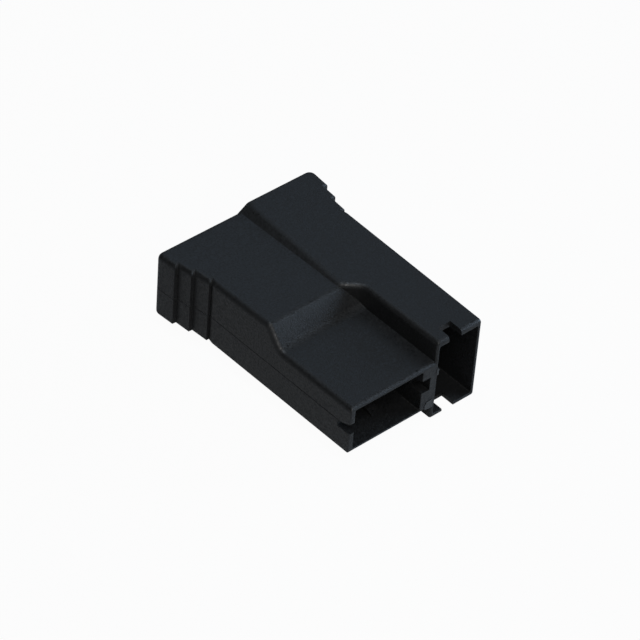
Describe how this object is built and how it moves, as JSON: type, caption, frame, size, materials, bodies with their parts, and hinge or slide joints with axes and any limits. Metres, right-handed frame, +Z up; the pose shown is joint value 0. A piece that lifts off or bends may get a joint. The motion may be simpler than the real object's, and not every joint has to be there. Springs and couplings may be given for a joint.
{
  "type": "connector housing",
  "caption": "Moulded black nylon housing for flat blade terminals: a low cell and a tall cell set in a T, with keyways, a ramped rear block and stepped finger grips.",
  "frame": {"origin": "centre of the bounding box, on the plane of the tall cell's underside", "axes": "+Y from the mating face to the wire entries, +Z up through the tall cell, +X from the low cell to the tall cell"},
  "size_m": [0.0202, 0.0274, 0.0099],
  "materials": {
    "nylon": "fine-grained matte black nylon, as moulded"
  },
  "bodies": {
    "root": {"housing": "nylon"}
  },
  "joints": []
}
